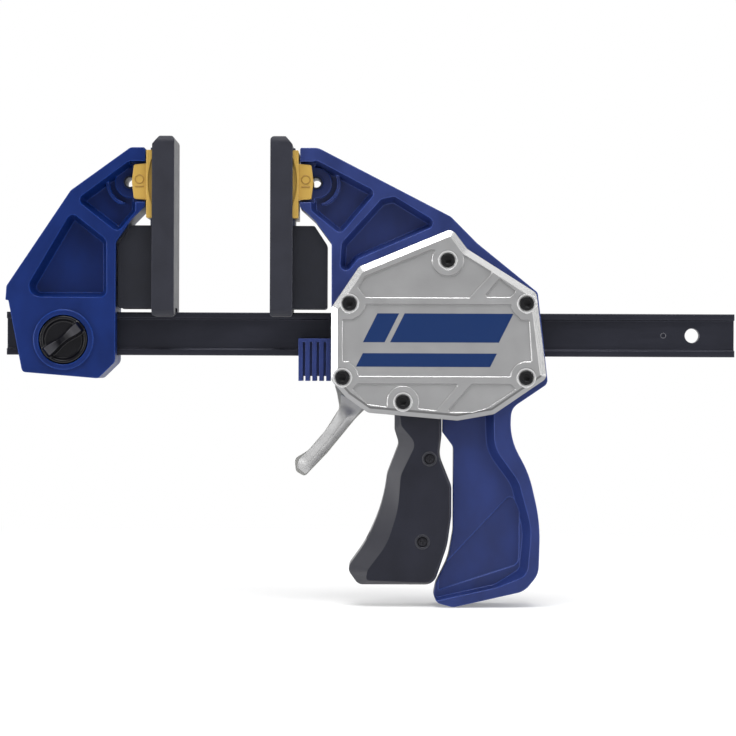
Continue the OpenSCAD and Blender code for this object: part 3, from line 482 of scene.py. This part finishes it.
# ---------------------------------------------------------------------------------------------
# Six bolts hold the covers: blackened socket heads with knurled sides, each in a bright seat
# that is pressed into the cover, and a plated nut sunk in the rear cover.
# ---------------------------------------------------------------------------------------------

# X of each bolt and its height over the bar's axis, in mm
bolt_places = [(151.2, 40.9), (97.0, 16.9), (194.8, 17.2), (93.3, -24.0), (194.7, -23.8),
               (126.7, -37.3)]
# Each ring of a bolt, from the socket's floor to the shank's end: its radius, its distance from
# the middle plane in mm, and its share of the hexagon and of the knurl
bolt_rings = np.array([
    (1.0, 20.95, 0, 0), (2.0, 21.08, 1, 0), (2.2, 21.2, 1, 0), (2.2, 22.7, 1, 0), (2.3, 22.9, 1, 0),
    (2.6, 22.99, 0.5, 0), (3.0, 23.0, 0, 0), (3.3, 22.95, 0, 0), (3.55, 22.82, 0, 0),
    (3.72, 22.6, 0, 1), (3.78, 22.4, 0, 1), (3.78, 20.2, 0, 1), (3.6, 19.9, 0, 1), (2.5, 19.8, 0, 0),
    (2.5, -21.2, 0, 0), (2.2, -21.4, 0, 0)])
# A hexagon's reach is that of its flat's middle over the cosine of the angle away from it
hexagon = math.cos(math.pi / 6) / np.cos(around % (math.pi / 3) - math.pi / 6)
knurl_depth, knurl_count = 0.02, 24
lobes = (1 + bolt_rings[:, 2:3] * (hexagon - 1)
         + knurl_depth * bolt_rings[:, 3:4] * np.cos(knurl_count * around))
bolt_black = blackened_steel("bolt_black", (0.003, 0.003, 0.004), (0.012, 0.012, 0.014), 0.1)
fit(woven("bolts", [turned(place, bolt_rings, lobes) for place in bolt_places]),
    "carriage", "black_steel", bolt_black, "cover_bolts")

# A seat's section, as radius and distance from the middle plane: a cone between two rims
seat_loop = [(3.98, 21.2), (4.1, 21.36), (5.15, 21.9), (5.36, 21.93), (5.36, 19.9), (3.98, 19.9)]
seat_bright = plain_metal("seat_bright", (0.86, 0.86, 0.86), 0.34, metallic=0.12)
fit(woven("bolt_seats", [turned(place, seat_loop) for place in bolt_places], True),
    "carriage", "cover_metal", seat_bright)
fit(dressed("cover_nuts"), "carriage", "zinc_steel", zinc_plate, "cover_nuts")


# ---------------------------------------------------------------------------------------------
# The lock knob of the fixed jaw: glossy black nylon, turned by a finger bar that stands between
# two deep scoops. The bar is waisted, and its top dips towards the middle.
# ---------------------------------------------------------------------------------------------

knob_centre = (-61.2, -3.6)             # X and height over the bar's axis, in mm like the rest
knob_radius, round_over = 13.3, 0.9
flat_radius = knob_radius - round_over
bar_lean = math.radians(38)
reach = np.concatenate([np.linspace(0.3, flat_radius, 56),
                        knob_radius - round_over * np.cos(np.linspace(0.2, 1.57, 9))])
r, turn = np.meshgrid(reach, np.linspace(0, 2 * np.pi, 192, endpoint=False), indexing="ij")
along, across = r * np.cos(turn - bar_lean), r * np.sin(turn - bar_lean)


def smooth(value, low, high):
    """0 below low, 1 above high, and an S-shaped rise between."""
    share = np.clip((value - low) / (high - low), 0, 1)
    return share * share * (3 - 2 * share)


# The front's distance from the middle plane: a rim that drops by a quarter circle at its edge, a
# scooped floor within it, and the finger bar's crest where a point is nearer to the bar's middle
# line than its waist
rim_top, scoop_depth, crest_top, crest_dip, end_drop = 17.9, 1.6, 21.9, 1.5, 4.0
beyond = ((r - flat_radius) / round_over).clip(0)
rim = rim_top - round_over * (1 - np.sqrt(np.clip(1 - beyond ** 2, 0, 1)))
scoop = rim - scoop_depth * (1 - smooth(r, 9.8, 12.0))
crest = (crest_top - crest_dip * (1 - smooth(np.abs(along), 1.0, 7.5))
         - end_drop * smooth(np.abs(along), 10.6, 12.8))
waist = 1.25 + 0.95 * smooth(np.abs(along), 1.0, 9.0)
wall = 1 - smooth(np.abs(across), waist, waist + 1.5)
depth = np.maximum(scoop, scoop + (crest - scoop) * wall)
front = np.stack([knob_centre[0] + r * np.cos(turn), -depth, knob_centre[1] + r * np.sin(turn)], 2)
# Three more rings carry the side back to the jaw's face, the last drawn in a little
back = front[-1:].repeat(3, 0).copy()
back[:, :, 1] = [[-16.8], [-12.9], [-12.6]]
back[2, :, ::2] = 0.97 * (back[2, :, ::2] - knob_centre) + knob_centre
knob_nylon = moulded_nylon("knob_nylon", (0.0025, 0.0025, 0.005), 0.24, 0.1, 0.35, 0.0003,
                           wear_and_highlight=(1, 1, 1), depth=0.000006)
# The finger bar's ends are the knob's highest places, and they are painted grey as a highlight. The
# ramp reads the distance in front of the middle plane as a share of 25 mm.
tree = knob_nylon.node_tree
shader = tree.nodes["Principled BSDF"]
black = shader.inputs["Base Color"].links[0].from_socket
place = node(tree, "SeparateXYZ", {0: node(tree, "TexCoord").outputs["Object"]})
high = ramp(tree, maths(tree, "MULTIPLY", place.outputs["Y"], -1 / 0.025), (0.83, 0), (0.876, 0.6))
tree.links.new(mixed(tree, high, black, (0.075, 0.075, 0.085)), shader.inputs["Base Color"])
fit(woven("knob", [np.vstack([front, back]) / 1000 + (0, 0, bar_axis)]),
    "lock_knob", "black_plastic", knob_nylon, "lock_knob")


# ---------------------------------------------------------------------------------------------
# The trigger: two grip shells of black nylon over a folded steel core, held from each side by two
# small black screws with crossed slots. A ring is moulded round each screw.
# ---------------------------------------------------------------------------------------------

# The grips' edges are painted much lighter, and their slopes that face sideways get a painted
# highlight.
grip_nylon = moulded_nylon("grip_nylon", (0.014, 0.015, 0.025), level=0.28,
                           wear_and_highlight=(5.0, 4.7, 3.2), slopes_highlit=True)
for shell in ("trigger_front_shell", "trigger_rear_shell"):
    fit(dressed(shell, sharp=9), "trigger", "black_plastic", grip_nylon, shell)

screw_places = ((141.7, -69), (137.9, -115))
head_radius, head_top, dome_drop, slot_depth = 2.7, 14.8, 0.35, 0.5
reach = np.linspace(0.15, head_radius, 26)[:, None]
# The two slots are where a point lies near either of the axes, and they fade out towards the rim
off_axis = np.minimum(np.abs(reach * np.cos(around)), np.abs(reach * np.sin(around)))
cross = (1 - smooth(off_axis, 0.28, 0.46)) * (1 - smooth(reach, 1.3, 1.6))
dome = head_top - dome_drop * (reach / head_radius) ** 4 - slot_depth * cross
shank_rings = [(2.8, 14.2), (2.8, 14.02), (1.6, 13.98), (1.6, 8.2), (1.3, 7.9)]
ring_radius, ring_tube, ring_depth = 3.9, 0.28, 14.98
heads, rings = [], []
for place in screw_places:
    for facing in (-1, 1):
        top = turned(place, np.hstack([reach, dome[:, :1]]), None, facing)
        top[:, :, 1] = facing * dome / 1000
        heads.append(np.vstack([top, turned(place, shank_rings, None, facing)]))
        rings.append(round_ring(place, ring_radius, ring_tube, ring_depth, facing))
screw_black = blackened_steel("screw_black", (0.011, 0.011, 0.015), (0.05, 0.05, 0.055), 0.3)
fit(woven("grip_screws", heads), "trigger", "black_steel", screw_black, "trigger_screws")
fit(woven("screw_rings", rings, True), "trigger", "black_plastic", grip_nylon)


# ---------------------------------------------------------------------------------------------
# The release lever: a zinc casting, tumbled and nickel plated, with a thumb ridge that flows
# along each side down to its tip.
# ---------------------------------------------------------------------------------------------

# Painted highlight: the lever's slopes and edges that look up or sideways get the lighter grey.
lever_zinc = satin_zinc("lever_zinc", (0.30, 0.30, 0.29), (0.55, 0.55, 0.54), rough=0.42,
                        radius=0.0006, size=0.003)
fit(dressed("release_lever"), "release_lever", "cast_metal", lever_zinc, "release_lever")

# The ridge's left and right edges, as X and height over the bar's axis in mm
ridge_left = ((92.3, -33.0), (92.2, -41.5), (84.2, -53.6), (74.6, -64.8), (68.6, -69.8),
              (68.2, -74.4))
ridge_right = ((106, -39.4), (99.6, -46.8), (90.4, -58.2), (80.8, -69.4), (75.6, -75),
               (72.6, -77.8))


def flowing(points):
    """A line through the points, its corners eased by averaging over a fifth of its length."""
    points = np.array(points, float)
    steps, half = np.linspace(0, len(points) - 1, 61), 6
    line = np.stack([np.interp(steps, np.arange(len(points)), points[:, k]) for k in (0, 1)], 1)
    wide = np.pad(line, ((half, half), (0, 0)), "reflect", reflect_type="odd")
    even = np.ones(2 * half + 1) / (2 * half + 1)
    return np.stack([np.convolve(wide[:, k], even, "valid") for k in (0, 1)], 1)


# A section runs over the top from edge to edge and back under it, inside the lever. The ridge is
# highest at peak, a share of its width, and swells and fades along its length.
lever_side, proud, sunk, peak = 6.5, 2.8, 0.6, 0.62
left, right = flowing(ridge_left)[:, None], flowing(ridge_right)[:, None]
share = (0.5 - 0.5 * np.cos(around))[:, None]
from_peak = np.where(share < peak, (peak - share) / peak, (share - peak) / (1 - peak))
along = np.linspace(0, 1, len(left))[:, None]
swell = smooth(along, 0.10, 0.26) * (1 - smooth(along, 0.72, 1.0) * 0.98)
crown = 0.05 + proud * swell * (1 - from_peak[:, 0] ** 1.3)
rise = np.where(np.sin(around) >= 0, crown, -sunk)
path = left + (right - left) * share
ridges = [np.stack([path[..., 0], facing * (lever_side + rise), path[..., 1]], 2) / 1000
          + (0, 0, bar_axis) for facing in (-1, 1)]
ridge_zinc, tree, shader = new_finish("ridge_zinc", {"Metallic": 0.5})
worn_bright = grain(tree, 0.006, detail=4.0)
tree.links.new(ramp(tree, worn_bright, (0.3, [0.42] * 3), (0.75, [0.52] * 3)),
               shader.inputs["Base Color"])
tree.links.new(ramp(tree, worn_bright, (0.3, 0.46), (0.75, 0.36)), shader.inputs["Roughness"])
fit(woven("thumb_ridges", ridges), "release_lever", "cast_metal", ridge_zinc)


# ---------------------------------------------------------------------------------------------
# The studio: a pale floor under the handle's butt, a white room that is dark only behind the
# camera, and soft boxes above and at both sides.
# ---------------------------------------------------------------------------------------------

world = bpy.data.worlds.new("room")
bpy.context.scene.world = world
world.use_nodes = True
tree = world.node_tree
tree.nodes.clear()
path = node(tree, "LightPath")
direct = maths(tree, "MAXIMUM", path.outputs["Is Camera Ray"],
               path.outputs["Is Transmission Ray"])
toward = node(tree, "SeparateXYZ", {0: node(tree, "TexCoord").outputs["Generated"]})
above = ramp(tree, toward.outputs["Z"], (0.0, 0.06), (0.35, 0.14), (0.8, 0.75))
behind = ramp(tree, toward.outputs["Y"], (0.1, 0.0), (0.5, 0.85))
walls = node(tree, "Mix", {"Factor": 1.0, 6: above, 7: behind}, data_type="RGBA",
             blend_type="LIGHTEN")
ceiling = node(tree, "Background", {"Color": walls.outputs[2]})
white = node(tree, "Background", {"Color": (1, 1, 1, 1), "Strength": 1.0})
choice = node(tree, "MixShader", {0: direct, 1: ceiling.outputs[0], 2: white.outputs[0]})
node(tree, "OutputWorld", {"Surface": choice.outputs[0]})

floor_height = cad_box[0].z - 0.0004    # just under the handle's butt
reach = 30.0
floor_mesh = bpy.data.meshes.new("floor")
floor_mesh.from_pydata([(-reach, -reach, floor_height), (reach, -reach, floor_height),
                        (reach, reach, floor_height), (-reach, reach, floor_height)],
                       [], [(0, 1, 2, 3)])
floor = bpy.data.objects.new("floor", floor_mesh)
bpy.context.scene.collection.objects.link(floor)
floor_paint, tree, shader = new_finish("floor_paint", {"Roughness": 0.9, "Specular IOR Level": 0.1,
                                                       "Base Color": (0.8, 0.8, 0.8, 1)})
# Near the object the floor takes shadows and glows a little; it fades to plain white from 0.3 to
# 0.7 m away. Only the camera and mirror-like finishes see the glow and the white.
path = node(tree, "LightPath")
seen = maths(tree, "MAXIMUM", path.outputs["Is Camera Ray"], path.outputs["Is Glossy Ray"])
glow = node(tree, "Emission", {"Color": (1, 1, 1, 1), "Strength": 0.25})
lift = node(tree, "MixShader", {0: seen, 2: glow.outputs[0]})
near = node(tree, "AddShader", {0: shader.outputs[0], 1: lift.outputs[0]})
plain = node(tree, "Emission", {"Color": (1, 1, 1, 1), "Strength": 1.0})
far = node(tree, "MixShader", {0: seen, 1: shader.outputs[0], 2: plain.outputs[0]})
away = node(tree, "VectorMath", {0: node(tree, "TexCoord").outputs["Object"]},
            operation="LENGTH").outputs["Value"]
fade = ramp(tree, maths(tree, "MULTIPLY", away, 0.5), (0.15, 0), (0.35, 1))
both = node(tree, "MixShader", {0: fade, 1: near.outputs[0], 2: far.outputs[0]})
tree.links.new(both.outputs[0], tree.nodes["Material Output"].inputs["Surface"])
floor_mesh.materials.append(floor_paint)


def soft_box(name, place, power, size=0.8):
    """A square area lamp of that size in metres, turned from its place to the object's middle."""
    lamp = bpy.data.lights.new(name, "AREA")
    lamp.shape = "SQUARE"
    lamp.size = size
    lamp.energy = power
    box = bpy.data.objects.new(name, lamp)
    bpy.context.scene.collection.objects.link(box)
    toward = np.array((0.1, 0.0, -0.08)) - np.array(place)
    box.location = place
    box.rotation_euler = (math.acos(-toward[2] / np.linalg.norm(toward)), 0,
                          math.atan2(toward[1], toward[0]) - math.pi / 2)


soft_box("overhead", (0.1, -0.45, 1.0), 9.5)
soft_box("left", (-1.1, -0.42, 0.1), 8.5)
soft_box("right", (1.2, -0.87, 0.2), 5.5)

# A long lens stands 1.4 m in front of the middle plane, level with the lower half of the cover
lens = bpy.data.cameras.new("camera")
lens.sensor_width = 36.0
lens.lens = 122.3
lens.clip_end = 100.0
camera = bpy.data.objects.new("camera", lens)
bpy.context.scene.collection.objects.link(camera)
camera.location = (0.1074, -1.4, -0.0782)
camera.rotation_euler = (math.pi / 2, -0.0038, 0)
bpy.context.scene.camera = camera
bpy.context.scene.view_settings.view_transform = "Standard"
